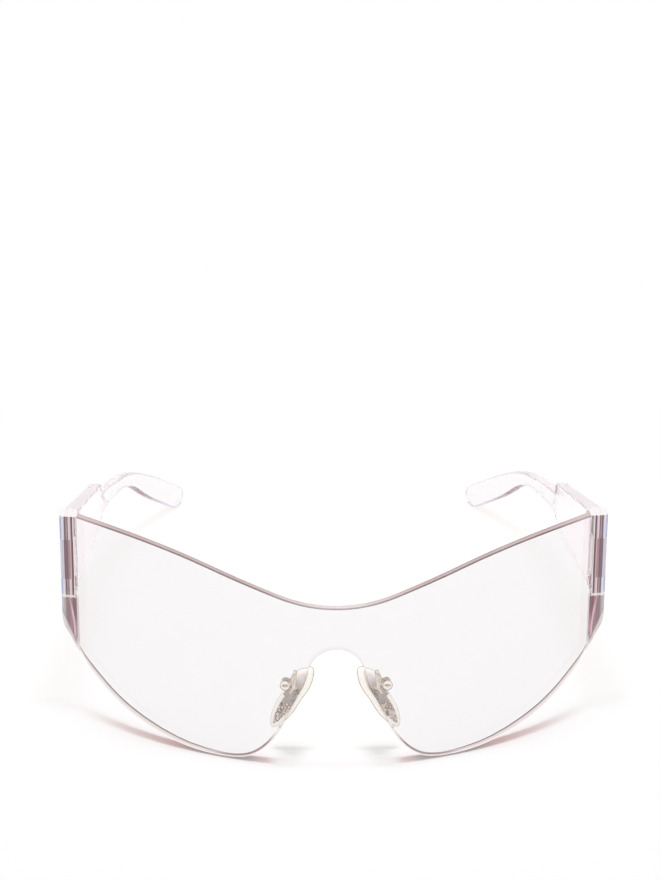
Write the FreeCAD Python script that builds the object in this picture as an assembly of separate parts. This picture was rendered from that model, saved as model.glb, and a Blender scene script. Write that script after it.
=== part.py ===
import FreeCAD, Part
import math
import os

os.makedirs("parts", exist_ok=True)

Vec = FreeCAD.Vector

# The glasses are drawn as they are worn: X across the face, Y from the lens back to the ears, Z up.
# Z is zero at the lowest point of the two lens lobes, Y is zero at the middle of the lens's outer face.
# The last section tips them onto the four points that they stand on.

# Shield lens
lens_radius = 100.0
lens_thickness = 2.7
lens_bevel = 0.3
lens_corner_height = 59.7
lens_centre_height = 43.8
brow_dip_radius = 44.0
brow_slope = 20.2
nose_arch_height = 32.3
nose_arch_radius = 7.5
nose_arch_sweep = 80.0

# The lower edge from the end of the nose arch to the outer corner of the end post,
# as shares of the front's half width and of the height of the nose arch.
lower_edge_shares = [
    (0.138, 0.567),
    (0.192, 0.307),
    (0.244, 0.131),
    (0.305, 0.028),
    (0.402, 0.000),
    (0.520, 0.030),
    (0.670, 0.140),
    (0.764, 0.250),
    (0.858, 0.417),
    (0.925, 0.586),
    (0.976, 0.811),
]
outer_corner_rise_share = 0.62

# End post and its three-knuckle hinge
front_half_width = 74.8
post_width = 4.8
post_corner_radius = 1.5
post_front_step = 0.5
hinge_setback = 4.9
upper_knuckle_height = 6.9
middle_knuckle_height = 10.3
lower_knuckle_height = 5.5
fin_depth = 3.0
shoulder_gap = 0.3

# Hinge hardware
hinge_screw_diameter = 1.4
hinge_head_diameter = 2.6
hinge_head_height = 0.9
hinge_head_sink = 0.15
hinge_slot_width = 0.35
hinge_slot_depth = 0.4
sleeve_diameter = 2.3
sleeve_length = 4.8
knuckle_bush_running_gap = 0.04
washer_diameter = 3.6
washer_thickness = 0.3
washer_running_gap = 0.05

# Temple: a tall clear block at the hinge, then a slimmer arm that bends in, and down to its tip
block_length = 56.8
block_front_drop = 0.7
block_rear_width = 3.8
block_rear_height = 11.0
block_rear_lift = 1.0
block_toe_in = 2.1
block_edge_radius = 0.7
inner_corner_chamfer = 1.7
arm_width = 3.1
arm_start_height = 7.3
arm_waist_height = 4.6
arm_tip_height = 7.6
arm_start_drop = 1.8
arm_length = 68.5
arm_start_heading = 3.0
arm_inward_bend = 33.0
arm_slope = 2.5
ear_bend_start = 28.0
ear_bend_length = 14.0
ear_bend_slope = 27.0
waist_place = 33.0
paddle_place = 54.0
arm_edge_radius = 1.1
arm_root_sink = 1.5
tip_round_length = 3.6
arm_stations = 13
tip_stations = 4
tip_cut_share = 0.15
tip_taper_share = 0.6
corner_limit_share = 0.45

# Nose pad hardware
lens_screw_offset = 13.6
lens_screw_height = 21.8
lens_screw_diameter = 1.2
lens_head_diameter = 2.7
lens_head_height = 1.1
lens_bush_diameter = 1.9
pad_foot_diameter = 2.8
pad_foot_thickness = 0.9
pad_wire_diameter = 1.0
pad_wire_bend_radius = 0.8
pad_wire_loop_height = 2.7
pad_wire_loop_reach = 1.1
pad_wire_set_back = 0.12
pad_wire_loop_depth = 1.8
pad_wire_lead = 0.5
pad_wire_root_share = 0.25

# Nose pad
pad_length = 19.6
pad_width = 5.6
pad_thickness = 2.4
pad_edge_round = 0.95
pad_round_steps = 3
pad_centre_offset = 11.8
pad_centre_depth = 9.6
pad_centre_height = 15.2
pad_lean = 30.5
pad_splay = 66.0
pad_box_shift = 2.4
core_thickness = 0.8
core_rim = 1.35
tongue_thickness = 1.0
tongue_length = 2.4
tongue_side_gap = 0.15
pad_pivot_height = 1.5
pad_screw_diameter = 0.9
pad_screw_head_diameter = 1.5
pad_screw_head_height = 0.4
pad_screw_running_gap = 0.04
pad_box_wall = 0.7
pad_box_floor_gap = 0.55

# The pad's outline below its top point, as shares of its half width and of its length from the middle.
pad_outline_shares = [
    (0.86, -0.38),
    (1.00, -0.04),
    (0.60, 0.40),
]

overrun = 5.0

# The search for the angle at which the glasses stand on all four points
steepest_tilt = 20.0
tilt_halvings = 18


# Sizes worked out from those above
half_post = post_width / 2
hinge_x = front_half_width - half_post
lens_half_width = front_half_width - post_width


def sag(radius, x):
    """Depth of a vertical cylinder's wall at x, behind the front of a circle of the given radius."""
    return radius - math.sqrt(radius * radius - x * x)


corner_depth = sag(lens_radius, lens_half_width)
lens_inner_radius = lens_radius - lens_thickness
inner_corner_depth = lens_thickness + sag(lens_inner_radius, lens_half_width)
hinge_y = corner_depth + hinge_setback
shoulder = half_post + shoulder_gap
knuckle_gap = washer_thickness + washer_running_gap
post_top = lens_corner_height
upper_bottom = post_top - upper_knuckle_height
middle_top = upper_bottom - knuckle_gap
middle_bottom = middle_top - middle_knuckle_height
lower_top = middle_bottom - knuckle_gap
lower_bottom = lower_top - lower_knuckle_height
hinge_height = (middle_top + middle_bottom) / 2


def line(a, b):
    return Part.LineSegment(a, b).toShape()


def arc(a, b, c):
    return Part.Arc(a, b, c).toShape()


def prism(edges, direction):
    """Solid made by pushing a closed outline along a direction."""
    return Part.Face(Part.Wire(edges)).extrude(direction)


def box(corner, size):
    return Part.makeBox(size.x, size.y, size.z, corner)


def cylinder(base, direction, diameter, length):
    return Part.makeCylinder(diameter / 2, length, base, direction)


def mirrored(shape):
    return shape.mirror(Vec(0, 0, 0), Vec(1, 0, 0))


def rounded_path(points, radius):
    """Straight runs joined by tangent arcs of one radius."""
    edges = []
    start = points[0]
    for before, corner, after in zip(points, points[1:], points[2:]):
        inward = (before - corner).normalize()
        outward = (after - corner).normalize()
        half_angle = inward.getAngle(outward) / 2
        reach = radius / math.tan(half_angle)
        middle = (inward + outward).normalize()
        arc_start = corner + inward * reach
        arc_end = corner + outward * reach
        arc_middle = corner + middle * (radius / math.sin(half_angle) - radius)
        edges.append(line(start, arc_start))
        edges.append(arc(arc_start, arc_middle, arc_end))
        start = arc_end
    edges.append(line(start, points[-1]))
    return edges


def tube(path, diameter):
    """Round wire along a path of straight runs and arcs."""
    runs = []
    for edge in path:
        start = edge.valueAt(edge.FirstParameter)
        direction = edge.tangentAt(edge.FirstParameter)
        disc = Part.Face(Part.Wire(Part.Circle(start, direction, diameter / 2).toShape()))
        if isinstance(edge.Curve, Part.Circle):
            turn = math.degrees(edge.Length / edge.Curve.Radius)
            runs.append(disc.revolve(edge.Curve.Center, edge.Curve.Axis, turn))
        else:
            runs.append(disc.extrude(direction * edge.Length))
    return runs[0].multiFuse(runs[1:])


# Front outline


def brow_edges():
    """Right half of the top edge: a dip over the nose, a straight rise and a flattening outer end."""
    slope = math.radians(brow_slope)
    dip_x = brow_dip_radius * math.sin(slope)
    dip_z = lens_centre_height + brow_dip_radius * (1 - math.cos(slope))
    run = lens_half_width - dip_x
    rise = lens_corner_height - dip_z
    # the end arc leaves the straight rise tangentially and ends level at the post
    end_radius = (run * math.tan(slope) - rise) / (math.sin(slope) * math.tan(slope) + math.cos(slope) - 1)
    turn_x = lens_half_width - end_radius * math.sin(slope)
    turn_z = lens_corner_height - end_radius * (1 - math.cos(slope))
    half = slope / 2
    middle_dip = Vec(brow_dip_radius * math.sin(half), 0,
                     lens_centre_height + brow_dip_radius * (1 - math.cos(half)))
    middle_end = Vec(lens_half_width - end_radius * math.sin(half), 0,
                     lens_corner_height - end_radius * (1 - math.cos(half)))
    dip = Vec(dip_x, 0, dip_z)
    turn = Vec(turn_x, 0, turn_z)
    corner = Vec(lens_half_width, 0, lens_corner_height)
    return [
        arc(Vec(0, 0, lens_centre_height), middle_dip, dip),
        line(dip, turn),
        arc(turn, middle_end, corner),
        line(corner, Vec(front_half_width, 0, lens_corner_height)),
    ]


def lower_edges():
    """Right half of the lower edge, from the nose arch to the outer side of the post."""
    centre_z = nose_arch_height - nose_arch_radius

    def on_arch(angle):
        turn = math.radians(angle)
        return Vec(nose_arch_radius * math.sin(turn), 0, centre_z + nose_arch_radius * math.cos(turn))

    arch_end = on_arch(nose_arch_sweep)
    turn = math.radians(nose_arch_sweep)
    leaving = Vec(math.cos(turn), 0, -math.sin(turn))
    outer = Vec(front_half_width, 0, lower_bottom - fin_drop() * (1 - outer_corner_rise_share))
    points = [arch_end]
    points += [Vec(x * front_half_width, 0, z * nose_arch_height) for x, z in lower_edge_shares]
    points.append(outer)
    curve = Part.BSplineCurve()
    curve.interpolate(Points=points, InitialTangent=leaving, FinalTangent=Vec(0, 0, 1))
    return [
        arc(Vec(0, 0, nose_arch_height), on_arch(nose_arch_sweep / 2), arch_end),
        curve.toShape(),
        line(outer, Vec(front_half_width, 0, lens_corner_height)),
    ]


def fin_drop():
    """How far the post's fin reaches below the hinge."""
    return lower_bottom - lower_edge_shares[-1][1] * nose_arch_height


def front_silhouette():
    """Both halves of the front outline, pushed through the depth of the lens and posts."""
    right = brow_edges() + lower_edges()
    edges = right + [mirrored(edge) for edge in right]
    wire = Part.Wire(Part.__sortEdges__(edges))
    depth = hinge_y + overrun
    wire.translate(Vec(0, -overrun, 0))
    return Part.Face(wire).extrude(Vec(0, depth + overrun, 0))


# Shield lens


def shield_lens(silhouette):
    height = lens_corner_height + 2 * overrun
    axis_foot = Vec(0, lens_radius, -overrun)
    outer = Part.makeCylinder(lens_radius, height, axis_foot)
    inner = Part.makeCylinder(lens_inner_radius, height, axis_foot)
    front_half = box(Vec(-lens_half_width, -overrun, -overrun),
                     Vec(2 * lens_half_width, inner_corner_depth + 2 * overrun, height))
    lens = outer.cut(inner).common(front_half).common(silhouette).removeSplitter()
    lens = lens.makeChamfer(lens_bevel, rim_edges(lens))
    for side in (-1, 1):
        lens = lens.cut(lens_hole(side))
    return lens.removeSplitter()


def rim_edges(lens):
    """Edges between the lens's two curved faces and its rim, leaving out the ends that meet the posts."""
    edges = []
    for edge in lens.Edges:
        middle = edge.valueAt((edge.FirstParameter + edge.LastParameter) / 2)
        depth = math.hypot(middle.x, middle.y - lens_radius)
        on_face = min(abs(depth - lens_radius), abs(depth - lens_inner_radius)) < lens_bevel / 2
        if on_face and abs(middle.x) < lens_half_width - lens_bevel:
            edges.append(edge)
    return edges


def screw_frame(side):
    """Place on the lens's outer face at the pad screw, with the axis towards the lens's centre."""
    angle = math.asin(lens_screw_offset / lens_radius)
    origin = Vec(side * lens_screw_offset, sag(lens_radius, lens_screw_offset), lens_screw_height)
    axis = Vec(-side * math.sin(angle), math.cos(angle), 0)
    return origin, axis


def lens_hole(side):
    origin, axis = screw_frame(side)
    start = origin - axis * overrun
    return cylinder(start, axis, lens_bush_diameter, lens_thickness + 2 * overrun)


# End post with the outer two knuckles


def post_plan(rear):
    """Right post's plan, from the lens's outer corner round to the barrel about the pin."""
    inner = lens_half_width
    outer = front_half_width
    front = corner_depth
    stepped = front + post_front_step
    corner = post_corner_radius
    knee = corner * (1 - math.sqrt(0.5))
    a = Vec(inner, front, 0)
    b = Vec(outer - corner, stepped, 0)
    c = Vec(outer - knee, stepped + knee, 0)
    d = Vec(outer, stepped + corner, 0)
    if rear < hinge_y:
        e = Vec(outer, rear, 0)
        f = Vec(inner, rear, 0)
        return [line(a, b), arc(b, c, d), line(d, e), line(e, f), line(f, a)]
    e = Vec(outer, rear, 0)
    f = Vec(hinge_x, rear, 0)
    slant = half_post * math.sqrt(0.5)
    g = Vec(hinge_x - slant, hinge_y + slant, 0)
    h = Vec(inner, hinge_y, 0)
    return [line(a, b), arc(b, c, d), line(d, e), line(e, f), arc(f, g, h), line(h, a)]


def at_height(edges, z):
    moved = []
    for edge in edges:
        copy = edge.copy()
        copy.translate(Vec(0, 0, z))
        moved.append(copy)
    return moved


def end_post(silhouette):
    tall = post_top - lower_bottom
    block = prism(at_height(post_plan(hinge_y + half_post), lower_bottom), Vec(0, 0, tall))
    fin_rear = corner_depth + fin_depth
    fin = prism(at_height(post_plan(fin_rear), 0), Vec(0, 0, lower_bottom))
    post = block.fuse(fin).common(silhouette).removeSplitter()
    post = post.cut(knuckle_pocket())
    screw_axis = Vec(0, 0, 1)
    through = cylinder(Vec(hinge_x, hinge_y, lower_bottom - overrun), screw_axis,
                       hinge_screw_diameter, lower_knuckle_height + 2 * overrun)
    sleeve_seat = cylinder(Vec(hinge_x, hinge_y, upper_bottom - overrun), screw_axis,
                           sleeve_diameter, sleeve_length + overrun)
    head_seat = cylinder(Vec(hinge_x, hinge_y, lower_bottom - overrun), screw_axis,
                         hinge_head_diameter, hinge_head_height + hinge_head_sink + overrun)
    return post.cut(through).cut(sleeve_seat).cut(head_seat)


def knuckle_pocket():
    """Space in the post between its two knuckles, for the temple's knuckle and its neck."""
    top = upper_bottom
    height = upper_bottom - lower_top
    foot = top - height
    barrel = cylinder(Vec(hinge_x, hinge_y, foot), Vec(0, 0, 1), 2 * shoulder, height)
    behind = box(Vec(lens_half_width - overrun, hinge_y, foot),
                 Vec(post_width + 2 * overrun, half_post + overrun, height))
    neck_side = box(Vec(lens_half_width - overrun, inner_corner_depth, foot),
                    Vec(half_post + overrun, hinge_y - inner_corner_depth + overrun, height))
    return barrel.fuse(behind).fuse(neck_side)


# Hinge hardware


def hinge_screw():
    foot = lower_bottom + hinge_head_sink
    centre = Vec(hinge_x, hinge_y, foot)
    length = upper_bottom + sleeve_length - foot
    head = cylinder(centre, Vec(0, 0, 1), hinge_head_diameter, hinge_head_height)
    shank = cylinder(centre, Vec(0, 0, 1), hinge_screw_diameter, length)
    slot = box(Vec(hinge_x - overrun, hinge_y - hinge_slot_width / 2, foot - overrun),
               Vec(2 * overrun, hinge_slot_width, overrun + hinge_slot_depth))
    return head.fuse(shank).cut(slot).removeSplitter()


def ring(z, outer, inner, height):
    centre = Vec(hinge_x, hinge_y, z)
    up = Vec(0, 0, 1)
    return cylinder(centre, up, outer, height).cut(cylinder(centre, up, inner, height))


def hinge_sleeve():
    return ring(upper_bottom, sleeve_diameter, hinge_screw_diameter, sleeve_length)


def knuckle_bush():
    bore = hinge_screw_diameter + 2 * knuckle_bush_running_gap
    return ring(middle_bottom, sleeve_diameter, bore, middle_knuckle_height)


def hinge_washers():
    upper = ring(upper_bottom - washer_thickness, washer_diameter, hinge_screw_diameter, washer_thickness)
    lower = ring(lower_top, washer_diameter, hinge_screw_diameter, washer_thickness)
    return Part.makeCompound([upper, lower])


# Temple


def rounded_section(centre, across, up, width, height, corner):
    """Rounded rectangle about a centre, in the plane of two directions."""
    reach_x = width / 2
    reach_z = height / 2
    radius = min(corner, corner_limit_share * width, corner_limit_share * height)
    knee = radius * (1 - math.sqrt(0.5))

    def point(x, z):
        return centre + across * x + up * z

    edges = []
    corners = [(1, 1), (-1, 1), (-1, -1), (1, -1)]
    for index, (sx, sz) in enumerate(corners):
        along_x = point(sx * (reach_x - radius), sz * reach_z)
        along_z = point(sx * reach_x, sz * (reach_z - radius))
        middle = point(sx * (reach_x - knee), sz * (reach_z - knee))
        first, last = (along_z, along_x) if index % 2 == 0 else (along_x, along_z)
        edges.append(arc(first, middle, last))
        next_x, next_z = corners[(index + 1) % 4]
        if index % 2 == 0:
            target = point(next_x * (reach_x - radius), next_z * reach_z)
        else:
            target = point(next_x * reach_x, next_z * (reach_z - radius))
        edges.append(line(last, target))
    return Part.Wire(edges)


block_front_y = hinge_y + shoulder
block_rear_y = block_front_y + block_length
block_rear_x = hinge_x - block_toe_in
block_rear_z = lower_bottom + block_rear_lift + block_rear_height / 2


def temple_block():
    front_height = post_top - block_front_drop - lower_bottom
    across = Vec(1, 0, 0)
    up = Vec(0, 0, 1)
    front = rounded_section(Vec(hinge_x, block_front_y, lower_bottom + front_height / 2),
                            across, up, post_width, front_height, block_edge_radius)
    rear = rounded_section(Vec(block_rear_x, block_rear_y, block_rear_z),
                           across, up, block_rear_width, block_rear_height, block_edge_radius)
    return Part.makeLoft([front, rear], True, True)


def arm_drop(distance):
    """Drop and slope of the arm's centre line: nearly level, the ear bend, then straight to the tip."""
    first = math.radians(arm_slope)
    last = math.radians(ear_bend_slope)
    radius = ear_bend_length / (math.sin(last) - math.sin(first))
    before = min(distance, ear_bend_start)
    within = min(max(distance - ear_bend_start, 0), ear_bend_length)
    after = max(distance - ear_bend_start - ear_bend_length, 0)
    slope = math.asin(math.sin(first) + within / radius)
    drop = before * math.tan(first) + radius * (math.cos(first) - math.cos(slope)) + after * math.tan(last)
    return drop, slope


def arm_height(distance):
    """The arm narrows to a waist at the ear bend and widens to a paddle."""
    if distance < waist_place:
        share = distance / waist_place
        start, end = arm_start_height, arm_waist_height
    else:
        share = min((distance - waist_place) / (paddle_place - waist_place), 1.0)
        start, end = arm_waist_height, arm_tip_height
    return start + (end - start) * (1 - math.cos(math.pi * share)) / 2


def arm_place(distance):
    """Centre and directions of the arm at a level distance along it from the block's end."""
    first_heading = math.radians(arm_start_heading)
    heading = first_heading + math.radians(arm_inward_bend) * distance / arm_length
    bend_radius = arm_length / math.radians(arm_inward_bend)
    drop, slope = arm_drop(distance)
    x = block_rear_x - bend_radius * (math.cos(first_heading) - math.cos(heading))
    y = block_rear_y + bend_radius * (math.sin(heading) - math.sin(first_heading))
    z = block_rear_z - arm_start_drop - drop
    across = Vec(math.cos(heading), math.sin(heading), 0)
    along = Vec(-math.sin(heading) * math.cos(slope), math.cos(heading) * math.cos(slope), -math.sin(slope))
    return Vec(x, y, z), across, across.cross(along), along


def temple_arm():
    sections = []
    straight = arm_length - tip_round_length
    for index in range(arm_stations):
        distance = straight * index / (arm_stations - 1)
        centre, across, up, along = arm_place(distance)
        if index == 0:
            centre = centre - along * arm_root_sink
        sections.append(rounded_section(centre, across, up, arm_width, arm_height(distance), arm_edge_radius))
    for index in range(1, tip_stations + 1):
        # quarter-circle rounding of the tip, ending in a small flat
        turn = math.radians(90.0 * (1 - tip_cut_share) * index / tip_stations)
        centre, across, up, along = arm_place(straight + tip_round_length * math.sin(turn))
        height = arm_tip_height * math.cos(turn)
        width = arm_width * math.cos(turn) ** tip_taper_share
        sections.append(rounded_section(centre, across, up, width, height, arm_edge_radius))
    return Part.makeLoft(sections, True, False)


def temple_knuckle():
    centre = Vec(hinge_x, hinge_y, middle_bottom)
    up = Vec(0, 0, 1)
    barrel = cylinder(centre, up, post_width, middle_knuckle_height)
    neck_left = hinge_x - half_post + inner_corner_chamfer
    neck = box(Vec(neck_left, hinge_y, middle_bottom),
               Vec(front_half_width - neck_left, shoulder + block_edge_radius, middle_knuckle_height))
    return barrel.fuse(neck)


def temple():
    body = temple_block().fuse(temple_arm())
    inner = hinge_x - half_post
    y = block_front_y
    low = lower_bottom - overrun
    a = Vec(inner - overrun, y - overrun, low)
    b = Vec(inner + inner_corner_chamfer, y - overrun, low)
    c = Vec(inner + inner_corner_chamfer, y, low)
    d = Vec(inner, y + inner_corner_chamfer, low)
    e = Vec(inner - overrun, y + inner_corner_chamfer, low)
    wedge = prism([line(a, b), line(b, c), line(c, d), line(d, e), line(e, a)],
                  Vec(0, 0, post_top - low + overrun))
    body = body.cut(wedge).fuse(temple_knuckle())
    bore = cylinder(Vec(hinge_x, hinge_y, middle_bottom - overrun), Vec(0, 0, 1),
                    sleeve_diameter, middle_knuckle_height + 2 * overrun)
    return body.cut(bore).removeSplitter()


# Nose pads, drawn for the right side in a frame of their own:
# x along the pad's width towards the ears, y from top to bottom, z out of the face that meets the nose.


def pad_matrix():
    """Turns the pad's own frame into its place behind the lens."""
    lean = math.radians(pad_lean)
    splay = math.radians(pad_splay)
    down = Vec(math.sin(lean), 0, -math.cos(lean))
    sideways = Vec(-math.cos(lean), 0, -math.sin(lean))
    face = sideways * math.cos(splay) + Vec(0, 1, 0) * math.sin(splay)
    width = down.cross(face)
    centre = Vec(pad_centre_offset, pad_centre_depth, pad_centre_height)
    return FreeCAD.Matrix(width.x, down.x, face.x, centre.x,
                          width.y, down.y, face.y, centre.y,
                          width.z, down.z, face.z, centre.z,
                          0, 0, 0, 1)


pad_place = pad_matrix()
pad_back = -pad_thickness / 2
pivot_z = pad_back - pad_pivot_height
box_floor = pad_back - pad_box_floor_gap
tongue_end = pivot_z - tongue_length / 2
box_width = tongue_thickness + 2 * tongue_side_gap + 2 * pad_box_wall
box_top = tongue_end - tongue_side_gap - pad_box_wall


def placed(shape):
    return shape.transformed(pad_place, True)


def oval(length, width, z):
    """Pad outline: an egg, a little narrower at its foot."""
    rear = [Vec(x * width / 2, y * length, z) for x, y in pad_outline_shares]
    front = [Vec(-point.x, point.y, z) for point in reversed(rear)]
    points = [Vec(0, -length / 2, z)] + rear + [Vec(0, length / 2, z)] + front
    curve = Part.BSplineCurve()
    curve.interpolate(Points=points, PeriodicFlag=True)
    return Part.Wire(curve.toShape())


def pad_core_shape():
    plate = Part.Face(oval(pad_length - 2 * core_rim, pad_width - 2 * core_rim, pad_back))
    return plate.extrude(Vec(0, 0, core_thickness))


def silicone_pad():
    """Soft pad with quarter-round rims, moulded round the metal core's plate."""
    sections = []
    for face, steps in ((-1, range(pad_round_steps + 1)), (1, range(pad_round_steps, -1, -1))):
        for step in steps:
            turn = math.radians(90.0 * step / pad_round_steps)
            inset = 2 * pad_edge_round * (1 - math.sin(turn))
            height = pad_thickness / 2 - pad_edge_round * (1 - math.cos(turn))
            sections.append(oval(pad_length - inset, pad_width - inset, face * height))
    body = Part.makeLoft(sections, True, False)
    return placed(body.cut(pad_core_shape()))


def pad_core():
    """Metal plate with a tongue whose end is rounded about the pivot."""
    tongue = box(Vec(-tongue_thickness / 2, -pad_box_shift - tongue_length / 2, pivot_z),
                 Vec(tongue_thickness, tongue_length, pad_back - pivot_z))
    round_end = cylinder(Vec(-tongue_thickness / 2, -pad_box_shift, pivot_z), Vec(1, 0, 0),
                         tongue_length, tongue_thickness)
    tongue = tongue.fuse(round_end)
    pivot = Vec(-overrun, -pad_box_shift, pivot_z)
    bore = cylinder(pivot, Vec(1, 0, 0), pad_screw_diameter + 2 * pad_screw_running_gap, 2 * overrun)
    return placed(pad_core_shape().fuse(tongue).cut(bore).removeSplitter())


def pad_screw():
    reach = box_width / 2
    start = Vec(-reach, -pad_box_shift, pivot_z)
    along = Vec(1, 0, 0)
    shank = cylinder(start, along, pad_screw_diameter, 2 * reach)
    head = cylinder(start - along * pad_screw_head_height, along,
                    pad_screw_head_diameter, pad_screw_head_height)
    return placed(shank.fuse(head).removeSplitter())


def lens_screw():
    origin, axis = screw_frame(1)
    radius = lens_head_diameter / 2
    dome_radius = (radius * radius + lens_head_height * lens_head_height) / (2 * lens_head_height)
    dome = Part.makeSphere(dome_radius, origin + axis * (dome_radius - lens_head_height))
    keep = cylinder(origin - axis * (lens_head_height + overrun), axis,
                    2 * dome_radius + overrun, lens_head_height + overrun)
    head = dome.common(keep)
    length = lens_thickness + pad_foot_thickness
    return head.fuse(cylinder(origin, axis, lens_screw_diameter, length)).removeSplitter()


def lens_bush():
    origin, axis = screw_frame(1)
    outer = cylinder(origin, axis, lens_bush_diameter, lens_thickness)
    return outer.cut(cylinder(origin, axis, lens_screw_diameter, lens_thickness))


def pad_arm():
    """Foot against the lens, looped wire, and the box that holds the pad's tongue."""
    origin, axis = screw_frame(1)
    # the foot's rim bears on the hollow side of the lens
    seat = origin + axis * (lens_thickness + sag(lens_inner_radius, pad_foot_diameter / 2))
    foot = cylinder(seat, axis, pad_foot_diameter, pad_foot_thickness)
    foot = foot.cut(cylinder(seat, axis, lens_screw_diameter, pad_foot_thickness))
    length = tongue_length + 2 * tongue_side_gap
    shell = box(Vec(-box_width / 2, -pad_box_shift - length / 2, box_top),
                Vec(box_width, length, box_floor - box_top))
    slot_width = tongue_thickness + 2 * tongue_side_gap
    slot = box(Vec(-slot_width / 2, -pad_box_shift - length, tongue_end - tongue_side_gap),
               Vec(slot_width, 2 * length, overrun))
    bore = cylinder(Vec(-overrun, -pad_box_shift, pivot_z), Vec(1, 0, 0), pad_screw_diameter, 2 * overrun)
    shell = placed(shell.cut(slot).cut(bore))
    up = Vec(0, 0, 1)
    sideways = axis.cross(up)
    root = seat + axis * (pad_wire_diameter / 2 + pad_wire_set_back)
    root -= sideways * (pad_foot_diameter / 2 - pad_wire_diameter * pad_wire_root_share)
    crest = root + up * pad_wire_loop_height - sideways * pad_wire_loop_reach
    far_crest = crest + axis * pad_wire_loop_depth
    # the wire's end is let into the roof of the box, flush with the inside of it
    bed = box_top + pad_box_wall - pad_wire_diameter / 2
    bed_start = pad_place.multVec(Vec(0, -pad_box_shift - length / 2 - pad_wire_lead, bed))
    bed_end = pad_place.multVec(Vec(0, -pad_box_shift, bed))
    path = rounded_path([root, crest, far_crest, bed_start, bed_end], pad_wire_bend_radius)
    return foot.fuse(tube(path, pad_wire_diameter)).fuse(shell).removeSplitter()


# Assembly

silhouette = front_silhouette()
lens = shield_lens(silhouette)
right_pieces = {
    "end_post": end_post(silhouette),
    "hinge_screw": hinge_screw(),
    "hinge_sleeve": hinge_sleeve(),
    "knuckle_bush": knuckle_bush(),
    "hinge_washers": hinge_washers(),
    "temple": temple(),
    "lens_screw": lens_screw(),
    "lens_bush": lens_bush(),
    "pad_arm": pad_arm(),
    "pad_core": pad_core(),
    "nose_pad": silicone_pad(),
    "pad_screw": pad_screw(),
}

pieces = {"shield_lens": lens}
for name, shape in right_pieces.items():
    pieces["right_" + name] = shape
    pieces["left_" + name] = mirrored(shape)


# Rest pose: tipped back until the lens lobes and the temple tips touch one level surface


def tipped(shape, angle):
    copy = shape.copy()
    copy.rotate(Vec(0, 0, 0), Vec(1, 0, 0), -angle)
    return copy


def lowest(shape, angle):
    return tipped(shape, angle).optimalBoundingBox(False, False).ZMin


def rest_angle():
    low = 0.0
    high = steepest_tilt
    for _ in range(tilt_halvings):
        middle = (low + high) / 2
        if lowest(pieces["right_temple"], middle) > lowest(lens, middle):
            low = middle
        else:
            high = middle
    return (low + high) / 2


tilt = rest_angle()
standing = Part.makeCompound([tipped(shape, tilt) for shape in pieces.values()])
bounds = standing.optimalBoundingBox(False, False)
rest_shift = Vec(0, -(bounds.YMin + bounds.YMax) / 2, -bounds.ZMin)

rest = FreeCAD.Placement(rest_shift, FreeCAD.Rotation(Vec(1, 0, 0), -tilt)).toMatrix()
for name, shape in pieces.items():
    shape.transformed(rest, True).exportStep("parts/" + name + ".step")

print("tilt", round(tilt, 3))
print("size", round(bounds.XLength, 2), round(bounds.YLength, 2), round(bounds.ZLength, 2))
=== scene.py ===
import math
import bpy
import bmesh
from mathutils import Matrix, Vector

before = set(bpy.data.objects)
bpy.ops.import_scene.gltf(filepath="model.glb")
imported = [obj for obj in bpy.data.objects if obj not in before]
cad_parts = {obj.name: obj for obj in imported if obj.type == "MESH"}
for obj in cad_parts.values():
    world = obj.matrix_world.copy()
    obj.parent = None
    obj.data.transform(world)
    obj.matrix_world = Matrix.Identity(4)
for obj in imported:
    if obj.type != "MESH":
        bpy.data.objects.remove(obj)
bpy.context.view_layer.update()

MM = 0.001

# Camera

TARGET = Vector((0.0, 11.877 * MM, 53.200 * MM))
AZIMUTH = math.radians(-1.4392)
ELEVATION = math.radians(24.7126)
ROLL = math.radians(0.4852)
DISTANCE = 650.0 * MM
NEAREST = 10.0 * MM
FOCAL_PIXELS = 2201.3
FRAME_WIDTH = 660.0
SENSOR = 36.0


def add_camera():
    """Puts the camera where the photograph was taken from."""
    back = Vector((math.sin(AZIMUTH) * math.cos(ELEVATION),
                   -math.cos(AZIMUTH) * math.cos(ELEVATION),
                   math.sin(ELEVATION)))
    level = Vector((math.cos(AZIMUTH), math.sin(AZIMUTH), 0.0))
    upright = back.cross(level)
    across = math.cos(ROLL) * level + math.sin(ROLL) * upright
    up = math.cos(ROLL) * upright - math.sin(ROLL) * level
    data = bpy.data.cameras.new("camera")
    data.sensor_fit = "HORIZONTAL"
    data.sensor_width = SENSOR
    data.lens = FOCAL_PIXELS * SENSOR / FRAME_WIDTH
    data.clip_start = NEAREST
    camera = bpy.data.objects.new("camera", data)
    bpy.context.scene.collection.objects.link(camera)
    turn = Matrix((across, up, back)).transposed()
    camera.matrix_world = Matrix.Translation(TARGET + back * DISTANCE) @ turn.to_4x4()
    bpy.context.scene.camera = camera


# Finishes are node trees; arithmetic on their sockets adds Math nodes


def rgb(red, green, blue):
    return (red, green, blue, 1.0)


def grey(level):
    return rgb(level, level, level)


BLACK = grey(0.0)
WHITE = grey(1.0)


class Link:
    """An output socket that Python's operators work on."""

    def __init__(self, finish, socket):
        self.finish = finish
        self.socket = socket

    def maths(self, operation, *values):
        return self.finish.node("ShaderNodeMath", {"operation": operation}, dict(enumerate(values)))

    def __add__(self, other):
        return self.maths("ADD", self, other)

    def __radd__(self, other):
        return self.maths("ADD", other, self)

    def __sub__(self, other):
        return self.maths("SUBTRACT", self, other)

    def __rsub__(self, other):
        return self.maths("SUBTRACT", other, self)

    def __mul__(self, other):
        return self.maths("MULTIPLY", self, other)

    def __rmul__(self, other):
        return self.maths("MULTIPLY", other, self)

    def __truediv__(self, other):
        return self.maths("DIVIDE", self, other)

    def __abs__(self):
        return self.maths("ABSOLUTE", self)

    def larger(self, other):
        return self.maths("MAXIMUM", self, other)


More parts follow.
